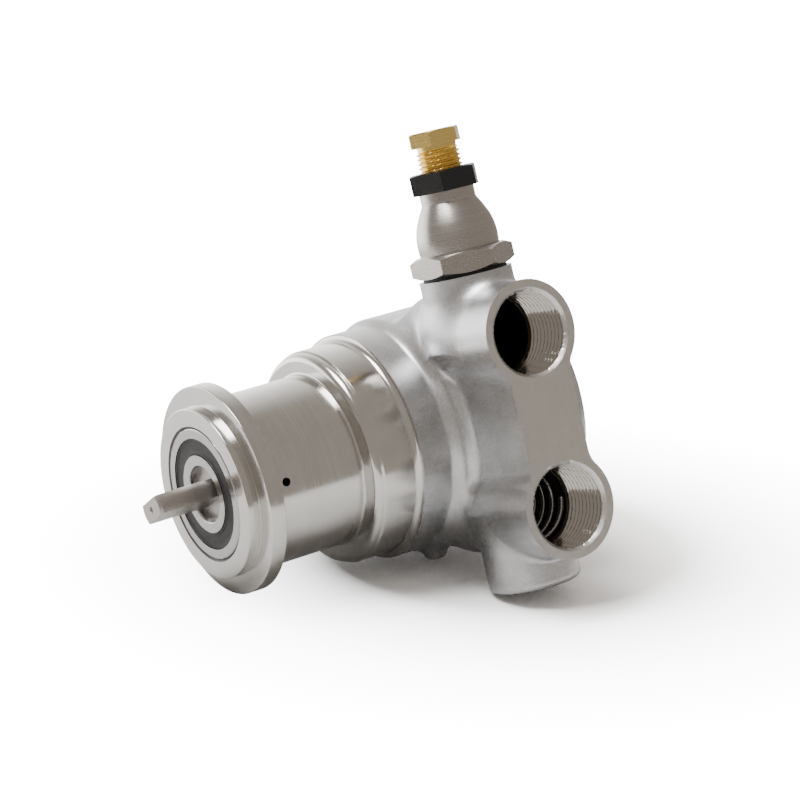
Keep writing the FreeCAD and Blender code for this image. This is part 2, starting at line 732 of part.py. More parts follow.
def relief_poppet():
    """A piston on a thin stem, with a cone that closes the seat between the ports."""
    cone = HEAD_R - SEAT_R + 0.02
    low = SEAT_R - 1.5
    piston_bottom = PISTON_TOP - PISTON_LENGTH
    ring_top = piston_bottom + PISTON_LENGTH / 2 + POPPET_RING_WIRE
    outline = [
        (0, SEAT_Z - 1.5 + 0.02),
        (low, SEAT_Z - 1.5 + 0.02),
        (HEAD_R, SEAT_Z + cone),
        (HEAD_R, SEAT_Z + cone + 2),
        (STEM_R, SEAT_Z + cone + 4),
        (STEM_R, piston_bottom - 1),
        (PISTON_R - 1, piston_bottom),
        (PISTON_R, piston_bottom),
        (PISTON_R, ring_top - 2 * POPPET_RING_WIRE),
        (PISTON_R - 2 * POPPET_RING_WIRE, ring_top - 2 * POPPET_RING_WIRE),
        (PISTON_R - 2 * POPPET_RING_WIRE, ring_top),
        (PISTON_R, ring_top),
        (PISTON_R, PISTON_TOP),
        (0, PISTON_TOP),
    ]
    return turned_z(outline)


def poppet_oring():
    middle = PISTON_TOP - PISTON_LENGTH / 2
    mean_r = PISTON_R - POPPET_RING_WIRE
    return Part.makeTorus(mean_r, POPPET_RING_WIRE, VALVE + Vector(0, 0, middle), Z)


def relief_spring():
    spring = coil(RELIEF_MEAN_R, RELIEF_WIRE, BUTTON_BOTTOM - PISTON_TOP, RELIEF_TURNS)
    return spring.translated(VALVE + Vector(0, 0, PISTON_TOP))


def spring_button():
    return upright(BUTTON_BOTTOM, BUTTON_TOP, BUTTON_R)


def adjusting_screw():
    """The brass screw: threaded shank, relieved end and hexagon head."""
    head = chamfered_hexagon(HEAD_HEX, HEAD_HEX_TURN, HEAD_BOTTOM, HEAD_TOP, False, True, 0.35)
    shank = upright(BUTTON_TOP, HEAD_BOTTOM - SCREW_RELIEF, SCREW_R)
    relief = upright(HEAD_BOTTOM - SCREW_RELIEF, HEAD_BOTTOM, SCREW_RELIEF_R)
    return head.fuse([relief, shank]).removeSplitter()


def lock_nut():
    """The black nut, recessed below for its sealing ring."""
    blank = chamfered_hexagon(NUT_HEX, NUT_HEX_TURN, NECK_TOP_Z, NUT_TOP, False, True, 0.3)
    thread = upright(NECK_TOP_Z - 1, NUT_TOP + 1, SCREW_R + SCREWED)
    recess = upright(NECK_TOP_Z - 1, NECK_TOP_Z + NUT_SEAL_THICKNESS, NUT_SEAL_R + SLIDING)
    return blank.cut([thread, recess])


def nut_seal():
    top = NECK_TOP_Z + NUT_SEAL_THICKNESS
    return upright(NECK_TOP_Z, top, NUT_SEAL_R, SCREW_R + SCREWED)


def strainer_screen():
    """A shallow cup at the bottom of the inlet, pierced by rows of holes."""
    cup = inward(PORT_BORE_END_Y - SCREEN_DEPTH, PORT_BORE_END_Y, SCREEN_R, -PORT_TOP_Z)
    inside = inward(
        PORT_BORE_END_Y - SCREEN_DEPTH - 1, PORT_BORE_END_Y - SCREEN_WALL, SCREEN_R - SCREEN_WALL, -PORT_TOP_Z
    )
    reach = SCREEN_R - SCREEN_WALL - 2 * SCREEN_HOLE_R
    rows = ceil(reach / SCREEN_HOLE_SPACING)
    holes = []
    for i in range(-rows, rows + 1):
        for j in range(-rows, rows + 1):
            dx = i * SCREEN_HOLE_SPACING
            dz = j * SCREEN_HOLE_SPACING
            if hypot(dx, dz) < reach:
                start = Vector(PORT_X + dx, PORT_BORE_END_Y - SCREEN_DEPTH, dz - PORT_TOP_Z)
                holes.append(Part.makeCylinder(SCREEN_HOLE_R, SCREEN_DEPTH + 1, start, Y))
    return cup.cut([inside] + holes)


def strainer_spring():
    """The spring that holds the screen in, from the cup's rim to the end of the thread."""
    start = THREAD_END_Y
    length = PORT_BORE_END_Y - SCREEN_DEPTH - start
    spring = coil(STRAINER_MEAN_R, STRAINER_WIRE, length, STRAINER_TURNS)
    spring.rotate(ORIGIN, X, -90)
    return spring.translated(Vector(PORT_X, start, -PORT_TOP_Z))


nodes = {
    "pump_body": pump_body(),
    "bearing_outer_ring": race(OUTER_LAND_R, BEARING_R, BEARING_R),
    "bearing_inner_ring": race(BEARING_BORE_R, INNER_LAND_R, BEARING_BORE_R),
    "bearing_balls": balls(),
    "bearing_cage": cage(),
    "bearing_seals": bearing_seals(),
    "drive_shaft": drive_shaft(),
    "seal_seat": seal_seat(),
    "seat_oring": seat_oring(),
    "seal_face": seal_face(),
    "seal_bellows": seal_bellows(),
    "seal_spring": seal_spring(),
    "shaft_clip": shaft_clip(),
    "front_plate": front_plate(),
    "cam_ring": cam_ring(),
    "rotor": rotor(),
    "rear_plate": rear_plate(),
    "locating_pins": Part.makeCompound(pins(-SLIDING)),
    "end_cover": end_cover(),
    "cover_oring": cover_oring(),
    "retaining_ring": retaining_ring(),
    "bonnet": bonnet(),
    "bonnet_gasket": bonnet_gasket(),
    "relief_poppet": relief_poppet(),
    "poppet_oring": poppet_oring(),
    "relief_spring": relief_spring(),
    "spring_button": spring_button(),
    "adjusting_screw": adjusting_screw(),
    "lock_nut": lock_nut(),
    "nut_seal": nut_seal(),
    "strainer_screen": strainer_screen(),
    "strainer_spring": strainer_spring(),
}
for i in range(VANE_COUNT):
    nodes[f"vane_{i + 1}"] = vane(i)

os.makedirs("parts", exist_ok=True)
for name, shape in nodes.items():
    shape.exportStep(f"parts/{name}.step")
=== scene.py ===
"""The looks of the rotary vane pump: its finished surfaces, materials, light and camera.

Sizes in this file are millimetres in the shared frame, and metres only where Blender needs
them. X is the shaft's axis, +Z the relief valve's, and the ports open towards -Y.
"""

import json
from math import acos, atan2, ceil, cos, pi, radians, sin, tan

import bpy
import numpy as np
from mathutils import Matrix, Vector


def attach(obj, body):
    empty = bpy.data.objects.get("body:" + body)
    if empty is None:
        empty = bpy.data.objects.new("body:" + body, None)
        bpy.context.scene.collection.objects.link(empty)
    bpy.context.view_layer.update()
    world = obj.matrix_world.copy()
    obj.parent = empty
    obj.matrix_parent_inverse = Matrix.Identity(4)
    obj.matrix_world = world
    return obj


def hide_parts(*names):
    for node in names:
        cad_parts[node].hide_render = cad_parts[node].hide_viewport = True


MM = 0.001

# Camera, solved from the photo
CAMERA_PLACE = (-341.58, -686.95, 92.72)
CAMERA_FORWARD = (0.510130, 0.853959, -0.102575)
CAMERA_RIGHT = (0.824375, -0.519467, -0.224855)
LENS = 117.77
SENSOR = 36.0

# Pilot, clamp flange, barrel and machined ring
PILOT_X = -3.95
PILOT_R = 25.85
FLANGE_X = 5.05
FLANGE_R = 31.75
BARREL_R = 26.4
SHOULDER_X = 35.6
SHOULDER_R = 32.45
SHOULDER_ROUND = 2.2
RING_X = 38.1
RING_LEAD = 0.6
RING_R = 33.0
RING_END = 49.0
SHADING_STRIP = 0.01
COVE_R = 1.9
COVE_STEPS = 8
JOINT_X = 51.3
BEARING_SEAT_R = 20.0
SEAT_CHAMFER = 0.6
BEARING_SEAT_END = 8.15
WEEP_ROOM_R = 17.2
WEEP_ROOM_END = 12.0
SEAL_WALL_R = 10.0
SEAL_WALL_END = 15.0
SEAL_SEAT_R = 14.5
SEAL_SEAT_END = 22.0
SEAL_ROOM_R = 18.0
WEEP_X = 9.75
WEEP_R = 1.3
WEEP_MARGIN = 3.0
OVERRUN = 2.0

# Cast housing, port plate and valve column
NECK_R = 35.1
RAMP_X = 60.3
RAMP_LENGTH = 4.0
HOUSING_R = 37.0
HOUSING_END = 110.5
HOUSING_ROUND = 2.0
PORT_X = 78.2
PORT_Z = 25.9
FACE_Y = -64.35
BOSS_R = 15.5
BOSS_BACK_R = 14.2
BOSS_END_Y = -13.0
BOSS_END_ROUND = 3.0
WEB_HALF_WIDTH = 10.6
WAIST_R = 8.0
VALVE_Y = -37.4
COLUMN_R = 13.95
COLUMN_TOP = 45.3
COLUMN_BOTTOM = -50.0
COLUMN_ROUND = 2.0
BODY_FILLET = 4.2
UPPER_FILLET = 4.5
LOWER_FILLET = 1.8
GATE = (66.0, -5.0, -37.0)
GATE_R = 3.4
GATE_REACH = 2.3
GATE_ROUND = 1.8
GATE_FILLET = 2.5

# The casting's mesh: the grid's cells and how far it reaches past the casting, halvings to find
# a crossing, step for a normal, sharpness kept, and how near a face counts as on a surface
CELL = 0.6
GRID_BEFORE = (1.5, 1.1, 1.3)
GRID_AFTER = 1.5
HALVINGS = 12
NORMAL_REACH = 0.02
SHARPNESS = 0.1
ON_SURFACE = 0.25
ON_PLANE = 0.05
FINISH_MARGIN = 1.0
FAR = 1e3

# Bores in the casting
OVERLAP = 0.5
MOUTH_R = 13.1
LEAD_LENGTH = 1.0
LEAD_GAP = 0.02
THREAD_SEAT_R = 13.4
THREAD_END_Y = -45.45
PORT_BORE_R = 11.8
PORT_BORE_END_Y = -24.6
FEED_R = 5.5
FEED_Z = 20.0
CARTRIDGE_X = 58.0
CARTRIDGE_R = 27.0
GROOVE_X = 105.2
GROOVE_END = 106.98
GROOVE_R = 28.54
END_BORE_R = 27.4
VALVE_BORES = [(-PORT_Z, 13.5, 5.0), (13.0, 26.4, 7.6), (25.9, 39.4, 9.0), (38.9, 50.0, 10.05)]

# Threads
PORT_PITCH = 1.814
PORT_MINOR_R = 12.1
PORT_ROOT_R = 13.05
SCREW_PITCH = 1.337
SCREW_R = 6.55
SCREW_ROOT_R = 5.7
THREAD_FLAT = 0.12
THREAD_ROW = 0.07
SLEEVE_Y = FACE_Y + 0.9
SLEEVE_SINK = 0.3
SLEEVE_WALL = 0.2

# Adjusting screw
SCREW_BOTTOM = 62.5
HEAD_BOTTOM = 84.2
HEAD_TOP = 88.6
HEAD_HEX = 14.0
HEAD_TURN = 49.0
HEAD_ROW = 0.5
HEAD_CHAMFER = 0.9
HEAD_CHAMFER_ROWS = 16
HEAD_EDGE = 0.15
HEAD_RIM = 0.18
HEAD_CORNER_FLAT = 0.12
CONE_SLOPE = 0.35
RELIEF_R = 5.9
RELIEF_LENGTH = 0.9

# Bearing seals
SEAL_FRONT_X = -3.6
SEAL_BACK_X = 7.9
SEAL_THICKNESS = 1.0
SEAL_OUTER_R = 16.9
SEAL_INNER_R = 11.85
SEAL_BEAD = 0.75
SEAL_DISH = 0.22
SEAL_DISH_SLOPE = 0.25
SEAL_RIM = 0.05

# Meshes: points of a rounded corner, faces round each shell, and the angle that stays sharp
ARC_STEPS = 5
FRONT_SEGMENTS = 288
DRILL_SEGMENTS = 48
SLEEVE_SEGMENTS = 240
SCREW_SEGMENTS = 360
SEAL_SEGMENTS = 192
SHARP_ANGLE = 32.0

# Spans that hold most of a noise's values, and most of two noises' product
NOISE_SPAN = (0.3, 0.7)
PRODUCT_SPAN = (0.15, 0.35)

# Grained finishes, for cast metal, rubber, nylon, carbon and ceramic: colour, metallic, roughness,
# its spread, size of the specks, depth of the relief, and how dark the darker places are
GRAINED = {
    "cast_stainless": ((0.58, 0.585, 0.595), 1, 0.36, 0.07, 0.5, 0.08, 0.78),
    "bored": ((0.46, 0.44, 0.41), 1, 0.25, 0.05, 0.8, 0.002, 0.95),
    "thread": ((0.43, 0.41, 0.38), 1, 0.1, 0.02, 0.8, 0, 0.97),
    # This near-black finish is painted shade: it darkens the deep port bores and the bearing seat, where
    # the metal only lies in shade
    "painted_shade_bore": ((0.10, 0.095, 0.09), 1, 0.45, 0.05, 0.8, 0.01, 0.85),
    "cage_steel": ((0.5, 0.5, 0.49), 1, 0.32, 0.06, 0.4, 0.01, 0.85),
    "shaft_steel": ((0.40, 0.38, 0.36), 1, 0.38, 0.03, 0.5, 0, 0.98),
    "spring_steel": ((0.42, 0.41, 0.40), 1, 0.24, 0.06, 0.4, 0.01, 0.85),
    "seal_rubber": ((0.006, 0.0055, 0.006), 0, 0.62, 0.06, 0.3, 0.02, 0.85),
    "ceramic": ((0.8, 0.79, 0.75), 0, 0.25, 0.04, 0.3, 0.004, 0.85),
    "carbon": ((0.05, 0.05, 0.053), 0, 0.45, 0.06, 0.3, 0.01, 0.85),
    "black_nylon": ((0.004, 0.004, 0.0045), 0, 0.36, 0.06, 0.35, 0.01, 0.85),
}
GRAIN_BROADER = 24
GRAIN_STRENGTH = 0.5
GRAIN_WARMER = 0.02

# Turned finishes: axis, a point on it, colour, roughness, its spread, width of the rings, depth of
# the relief, how dark the darker rings are, and how far a highlight is drawn out
X_AXIS = (1, 0, 0)
Z_AXIS = (0, 0, 1)
SHAFT = (0, 0, 0)
VALVE = (PORT_X, VALVE_Y, 0)
TURNED = {
    "turned_body": (X_AXIS, SHAFT, (0.60, 0.585, 0.56), 0.17, 0.04, 0.5, 0.002, 0.9, 0.3),
    "bearing_steel": (X_AXIS, SHAFT, (0.42, 0.41, 0.41), 0.2, 0.04, 0.35, 0.003, 0.9, 0.5),
    "turned_stainless": (Z_AXIS, VALVE, (0.45, 0.43, 0.405), 0.28, 0.03, 0.5, 0.002, 0.9, 0.4),
    "brass": (Z_AXIS, VALVE, (0.86, 0.64, 0.22), 0.24, 0.05, 0.5, 0.004, 0.9, 0.3),
}
RING_STRENGTH = 0.4
RING_WARMER = 0.015
SMUDGE_SCALE = 90

# Milled face of the ports, with tool marks drawn out along Z
MILLED_COLOUR = (0.66, 0.645, 0.62)
MILLED_SHADE = 0.94
MILLED_WARMER = 0.01
MILLED_ROUGHNESS = 0.36
MILLED_SPREAD = 0.05
MILLED_DRAWN_OUT = 0.35
MARK_SCALE = 2600
MARK_STRETCH = 0.03
MARK_STRENGTH = 0.3
MARK_DEPTH = 0.01

# Widths of the small bevels on the solids' edges
EDGES = {
    "bonnet": 0.14,
    "lock_nut": 0.14,
    "bearing_outer_ring": 0.25,
    "bearing_inner_ring": 0.2,
    "end_cover": 0.15,
    "retaining_ring": 0.12,
    "bonnet_gasket": 0.1,
    "rotor": 0.08,
    "shaft_clip": 0.1,
    "seal_face": 0.1,
    "seal_seat": 0.15,
}

# Floor: the plane under the flange's rim and the column's foot, white further out for the camera and
# greyer near the pump, a painted shade round it
FLOOR_NORMAL = (0.118, -0.282, 0.952)
FLOOR_LEVEL = -31.49
FLOOR_MIDDLE = (100.0, -10.0, 0.0)
FLOOR_HALF = 300.0
FLOOR_ALBEDO = 0.92
FLOOR_SEEN = 2.1
PAPER_SCALE = 400
PAPER_LEVELS = (0.98, 1.0)
# Painted contact shadow: how far the occlusion reaches, how dark it paints the floor, and its samples
PAINTED_SHADOW_REACH = 70.0
PAINTED_SHADOW_LEVEL = 0.45
PAINTED_SHADOW_SAMPLES = 8
WHITE_FROM = 55.0
WHITE_TO = 160.0
WHITE_LEVEL = 18.0

# Room: the level behind the pump, by how far a direction points away from the camera and to the
# right, and a lobe on the left
ROOM_LEVEL = 0.42
ROOM_COLOUR = (1.1, 1.0, 0.9)
BACK_LEVEL = 3.0
BACK_SIDES = (-0.1, 0.4)
BACK = [(-0.15, 0.0), (0.12, 0.03), (0.38, 0.2), (0.63, 0.42), (0.83, 0.75), (1.0, 1.0)]
LEFT_LEVEL = 3.2
LEFT_WAY = (-0.86, 0.5)
LEFT_SPAN = (0.82, 0.985)

# Soft box, placed along the picture's right, up and towards the camera
BOX_TARGET = (60.0, -20.0, 0.0)
BOX_PLACE = (-450.0, 1000.0, 400.0)
BOX_SIZE = 600.0
BOX_POWER = 20.0

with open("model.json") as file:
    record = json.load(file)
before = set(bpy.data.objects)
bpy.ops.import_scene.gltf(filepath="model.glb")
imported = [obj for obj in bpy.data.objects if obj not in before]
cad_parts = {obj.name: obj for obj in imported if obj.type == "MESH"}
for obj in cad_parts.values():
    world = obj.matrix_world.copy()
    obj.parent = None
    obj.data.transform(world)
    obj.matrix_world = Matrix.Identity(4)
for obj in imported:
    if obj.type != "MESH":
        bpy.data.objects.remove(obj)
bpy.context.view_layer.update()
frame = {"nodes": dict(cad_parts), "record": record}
nodes = frame["nodes"]


def put(tree, kind, inputs=None, **settings):
    """A new node, with its settings, and each input given a value or a link."""
    node = tree.nodes.new(kind)
    for key, value in settings.items():
        setattr(node, key, value)
    for key, value in (inputs or {}).items():
        if isinstance(value, bpy.types.NodeSocket):
            tree.links.new(value, node.inputs[key])
        else:
            node.inputs[key].default_value = value
    return node


def product(tree, first, second):
    return put(tree, "ShaderNodeMath", {0: first, 1: second}, operation="MULTIPLY").outputs[0]


def start(name, colour, metallic=1, drawn_out=0):
    """A material with its shader's constants set."""
    made = bpy.data.materials.new(name)
    made.use_nodes = True
    shader = made.node_tree.nodes["Principled BSDF"]
    shader.inputs["Metallic"].default_value = metallic
    shader.inputs["Base Color"].default_value = (*colour, 1)
    shader.inputs["Anisotropic"].default_value = drawn_out
    return made, made.node_tree, shader


def noise(tree, place, scale, detail=3, rough=0.55):
    inputs = {"Vector": place, "Scale": scale, "Detail": detail, "Roughness": rough}
    return put(tree, "ShaderNodeTexNoise", inputs).outputs["Fac"]


def spread(tree, value, low, high, span=NOISE_SPAN):
    """A value taken from its own span to another range."""
    inputs = {"Value": value, "From Min": span[0], "From Max": span[1], "To Min": low, "To Max": high}
    return put(tree, "ShaderNodeMapRange", inputs).outputs["Result"]


def tint(tree, factor, first, second):
    """A colour between two colours."""
    inputs = {0: factor, 6: (*first, 1), 7: (*second, 1)}
    return put(tree, "ShaderNodeMix", inputs, data_type="RGBA").outputs[2]


def relief(tree, shader, height, strength, distance):
    inputs = {"Strength": strength, "Distance": distance * MM, "Height": height}
    bump = put(tree, "ShaderNodeBump", inputs)
    tree.links.new(bump.outputs["Normal"], shader.inputs["Normal"])


def shades(colour, darker, warmer):
    """A darker and slightly warmer neighbour of a colour."""
    r, g, b = colour
    return (r * darker * (1 + warmer), g * darker, b * darker * (1 - warmer))


def roughen(tree, shader, pattern, roughness, vary):
    """Roughness that follows a pattern."""
    tree.links.new(spread(tree, pattern, roughness - vary, roughness + vary), shader.inputs["Roughness"])


def darken(tree, shader, fine, broad, colour, shade, warmer):
    """A base colour that is darker where a fine and a broad pattern are both low."""
    share = spread(tree, product(tree, fine, broad), 0, 1, PRODUCT_SPAN)
    tree.links.new(tint(tree, share, shades(colour, shade, warmer), colour), shader.inputs["Base Color"])


def grained(name, colour, metallic, roughness, vary, speck, depth, shade):
    """A surface with fine specks."""
    made, tree, shader = start(name, colour, metallic)
    place = put(tree, "ShaderNodeTexCoord").outputs["Object"]
    fine = noise(tree, place, 1 / (speck * MM), 4)
    broad = noise(tree, place, 1 / (speck * GRAIN_BROADER * MM))
    roughen(tree, shader, fine, roughness, vary)
    darken(tree, shader, fine, broad, colour, shade, GRAIN_WARMER)
    if depth:
        relief(tree, shader, fine, GRAIN_STRENGTH, depth)
    return made


def turned(name, axis, centre, colour, roughness, vary, ring, depth, shade, drawn_out):
    """Metal turned on an axis: fine rings, and a highlight drawn out across them."""
    made, tree, shader = start(name, colour, drawn_out=drawn_out)
    geometry = put(tree, "ShaderNodeNewGeometry")
    middle = {0: geometry.outputs["Position"], 1: [c * MM for c in centre]}
    offset = put(tree, "ShaderNodeVectorMath", middle, operation="SUBTRACT").outputs[0]
    along = put(tree, "ShaderNodeVectorMath", {0: offset, 1: axis}, operation="DOT_PRODUCT")
    round_way = put(tree, "ShaderNodeVectorMath", {0: axis, 1: offset}, operation="CROSS_PRODUCT")
    radius = put(tree, "ShaderNodeVectorMath", {0: round_way.outputs[0]}, operation="LENGTH")
    inputs = {0: along.outputs["Value"], 1: radius.outputs["Value"]}
    rings_at = put(tree, "ShaderNodeCombineXYZ", inputs).outputs[0]
    rings = noise(tree, rings_at, 1 / (ring * MM), 4, 0.7)
    cross = {0: geometry.outputs["Normal"], 1: round_way.outputs[0]}
    tangent = put(tree, "ShaderNodeVectorMath", cross, operation="CROSS_PRODUCT").outputs[0]
    tree.links.new(tangent, shader.inputs["Tangent"])
    smudge = noise(tree, geometry.outputs["Position"], SMUDGE_SCALE)
    roughen(tree, shader, rings, roughness, vary)
    darken(tree, shader, rings, smudge, colour, shade, RING_WARMER)
    relief(tree, shader, rings, RING_STRENGTH, depth)
    return made


def milled(name):
    """The flat milled face of the ports, with faint straight tool marks."""
    made, tree, shader = start(name, MILLED_COLOUR, drawn_out=MILLED_DRAWN_OUT)
    place = put(tree, "ShaderNodeTexCoord").outputs["Object"]
    drawn = put(tree, "ShaderNodeVectorMath", {0: place, 1: (1, 1, MARK_STRETCH)}, operation="MULTIPLY")
    marks = noise(tree, drawn.outputs[0], MARK_SCALE, 3, 0.6)
    roughen(tree, shader, marks, MILLED_ROUGHNESS, MILLED_SPREAD)
    darker = shades(MILLED_COLOUR, MILLED_SHADE, MILLED_WARMER)
    tree.links.new(tint(tree, marks, darker, MILLED_COLOUR), shader.inputs["Base Color"])
    relief(tree, shader, marks, MARK_STRENGTH, MARK_DEPTH)
    return made


finishes = {name: grained(name, *values) for name, values in GRAINED.items()}
finishes |= {name: turned(name, *values) for name, values in TURNED.items()}
finishes["milled_face"] = milled("milled_face")


def dress_nodes():
    """Each CAD node gets its finish, and the edges that show are slightly broken."""
    for row in frame["record"]["subparts"]:
        node = nodes[row["node"]]
        node.data.materials.clear()
        node.data.materials.append(finishes[row["material_slot"]])
        if row["node"] in EDGES:
            bevel = node.modifiers.new("edges", "BEVEL")
            bevel.width = EDGES[row["node"]] * MM
            bevel.segments = 2
            bevel.limit_method = "ANGLE"
            bevel.angle_limit = radians(SHARP_ANGLE)


def rounded(corners):
    """An outline through (along, radius, round) corners, each rounded by its own size."""
    outline = []
    for i, (along, radius, size) in enumerate(corners):
        here = np.array([along, radius], float)
        if not size:
            outline.append(here)
            continue
        back = np.array(corners[i - 1][:2]) - here
        ahead = np.array(corners[(i + 1) % len(corners)][:2]) - here
        back /= np.linalg.norm(back)
        ahead /= np.linalg.norm(ahead)
        half = acos(max(-1.0, min(1.0, float(back @ ahead)))) / 2
        way = (back + ahead) / np.linalg.norm(back + ahead)
        centre = here + way * size / sin(half)
        first = here + back * size / tan(half) - centre
        last = here + ahead * size / tan(half) - centre
        a0 = atan2(first[1], first[0])
        turn = (atan2(last[1], last[0]) - a0 + pi) % (2 * pi) - pi
        for k in range(ARC_STEPS + 1):
            a = a0 + turn * k / ARC_STEPS
            outline.append(centre + size * np.array([cos(a), sin(a)]))
    return np.array(outline)


def placed(axis, centre, along, radius, turn):
    """Points from their place along an axis, radius and turn round the axis through centre."""
    first = centre[0] + radius * np.cos(turn)
    second = centre[1] + radius * np.sin(turn)
    parts = {"x": (along, first, second), "y": (first, along, second), "z": (first, second, along)}
    return np.stack(np.broadcast_arrays(*parts[axis]), axis=-1).reshape(-1, 3)


def outward(points, faces):
    """The faces of a closed shell, turned so that they look out."""
    corner = points[faces]
    normal = np.cross(corner[:, 2] - corner[:, 0], corner[:, 3] - corner[:, 1])
    volume = (corner.mean(axis=1) * normal).sum()
    return faces if volume > 0 else faces[:, ::-1]


def swept(axis, centre, along, radius, finish, segments):
    """A closed shell round an axis. The outline's radius may change with the turn."""
    turn = np.linspace(0, 2 * pi, segments, endpoint=False)[:, None]
    along = np.asarray(along, float)
    radius = radius(turn, along[None, :]) if callable(radius) else np.asarray(radius)[None, :]
    points = placed(axis, centre, along[None, :], radius, turn)
    rows = len(along)
    i, j = np.meshgrid(np.arange(segments), np.arange(rows), indexing="ij")
    i2 = (i + 1) % segments
    j2 = (j + 1) % rows
    faces = np.stack([i * rows + j, i2 * rows + j, i2 * rows + j2, i * rows + j2], axis=-1)
    faces = outward(points, faces.reshape(-1, 4))
    return points, faces, [finish] * len(faces)


def welded(points, faces):
    """A shell with its double points joined, as a mesh takes it."""
    merged, where = np.unique(np.round(points, 4), axis=0, return_inverse=True)
    loops = []
    for face in where.ravel()[faces].tolist():
        loops.append([c for k, c in enumerate(face) if c != face[k - 1]])
    return merged, loops


def piece(name, shells, body, replaced):
    """One object from closed shells, riding on a body in place of CAD nodes."""
    points = []
    faces = []
    wanted = []
    count = 0
    for shell_points, shell_faces, shell_finish in shells:
        points.append(shell_points)
        faces.append(shell_faces + count)
        wanted += shell_finish
        count += len(shell_points)
    merged, loops = welded(np.concatenate(points), np.concatenate(faces))
    slots = list(dict.fromkeys(wanted))
    kept = [(loop, slots.index(finish)) for loop, finish in zip(loops, wanted) if len(loop) > 2]
    mesh = bpy.data.meshes.new(name)
    mesh.from_pydata(merged * MM, [], [loop for loop, _ in kept])
    for slot in slots:
        mesh.materials.append(finishes[slot])
    mesh.polygons.foreach_set("material_index", [slot for _, slot in kept])
    mesh.shade_smooth()
    mesh.set_sharp_from_angle(angle=radians(SHARP_ANGLE))
    made = bpy.data.objects.new(name, mesh)
    bpy.context.scene.collection.objects.link(made)
    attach(made, body)
    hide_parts(*replaced)


def turned_front():
    """The pilot, flange, barrel, shoulder and machined ring, down to the cove behind it."""
    corners = [
        (PILOT_X, BEARING_SEAT_R + SEAT_CHAMFER, 0),
        (PILOT_X + SEAT_CHAMFER, BEARING_SEAT_R, 0),
        (BEARING_SEAT_END, BEARING_SEAT_R, 0),
        (BEARING_SEAT_END, WEEP_ROOM_R, 0.1),
        (WEEP_ROOM_END, WEEP_ROOM_R, 0),
        (WEEP_ROOM_END, SEAL_WALL_R, 0.3),
        (SEAL_WALL_END, SEAL_WALL_R, 0.3),
        (SEAL_WALL_END, SEAL_SEAT_R, 0),
        (SEAL_SEAT_END, SEAL_SEAT_R, 0.3),
        (SEAL_SEAT_END, SEAL_ROOM_R, 0),
        (JOINT_X, SEAL_ROOM_R, 0),
        (JOINT_X, RING_R + COVE_R, 0),
        (RING_END + COVE_R, RING_R + COVE_R, 0),
    ]
    outline = list(rounded(corners))
    for k in range(1, COVE_STEPS + 1):
        a = pi / 2 * k / COVE_STEPS
        cove = (RING_END + COVE_R * cos(a), RING_R + COVE_R - COVE_R * sin(a))
        outline.append(np.array(cove))
    outer = [
        (RING_END - SHADING_STRIP, RING_R, 0),
        (RING_X + RING_LEAD, RING_R, 0.12),
        (RING_X, SHOULDER_R, 0.1),
        (SHOULDER_X, SHOULDER_R, SHOULDER_ROUND),
        (SHOULDER_X, BARREL_R, 0.8),
        (WEEP_X + WEEP_MARGIN, BARREL_R, 0),
        (WEEP_X - WEEP_MARGIN, BARREL_R, 0),
        (FLANGE_X, BARREL_R, 0.35),
        (FLANGE_X, FLANGE_R, 0.22),
        (0, FLANGE_R, 0.35),
        (0, PILOT_R, 0.1),
        (PILOT_X, PILOT_R, 0.38),
        (PILOT_X, BEARING_SEAT_R + SEAT_CHAMFER, 0),
    ]
    outline += list(rounded(outer)[:-1])
    along, radius = np.array(outline).T
    points, faces, _ = swept("x", (0, 0), along, radius, "", FRONT_SEGMENTS)
    return drilled(points, faces)


def drilled(points, faces):
    """The front's shell with the weep hole drilled through."""
    start_y = -BARREL_R - OVERRUN
    end_y = -WEEP_ROOM_R + OVERRUN
    along = (start_y, start_y, end_y, end_y)
    radius = (0, WEEP_R, WEEP_R, 0)
    drill_points, drill_faces, _ = swept("y", (WEEP_X, 0), along, radius, "", DRILL_SEGMENTS)
    things = []
    for shell_points, shell_faces in ((points, faces), (drill_points, drill_faces)):
        merged, loops = welded(shell_points, shell_faces)
        mesh = bpy.data.meshes.new("shell")
        mesh.from_pydata(merged, [], [loop for loop in loops if len(loop) > 2])
        thing = bpy.data.objects.new("shell", mesh)
        bpy.context.scene.collection.objects.link(thing)
        things.append(thing)
    blank, drill = things
    cut = blank.modifiers.new("drill", "BOOLEAN")
    cut.operation = "DIFFERENCE"
    cut.object = drill
    graph = bpy.context.evaluated_depsgraph_get()
    result = bpy.data.meshes.new_from_object(blank.evaluated_get(graph))
    for thing in things:
        bpy.data.objects.remove(thing)
    result.calc_loop_triangles()
    quads = {p.index: list(p.vertices) for p in result.polygons if len(p.vertices) == 4}
    triangles = [t for t in result.loop_triangles if t.polygon_index not in quads]
    faces = np.array([*quads.values(), *([*t.vertices, t.vertices[2]] for t in triangles)])
    points = np.array([v.co[:] for v in result.vertices])
    x, y, z = points[faces].mean(axis=1).T
    # The bearing seat and its chamfer get the near-black finish: painted shade for the dark gap round
    # the bearing
    seat = (x < BEARING_SEAT_END) & (np.hypot(y, z) < BEARING_SEAT_R + SEAT_CHAMFER)
    return points, faces, np.where(seat, "painted_shade_bore", "turned_body").tolist()


def fused(a, b, size):
    """The union of two distances, with a round fillet where they meet."""
    inside = np.maximum(size, np.minimum(a, b))
    return inside - np.hypot(np.maximum(size - a, 0), np.maximum(size - b, 0))


def common(a, b, size):
    """The overlap of two distances, with a round edge where they meet."""
    return -fused(-a, -b, size)


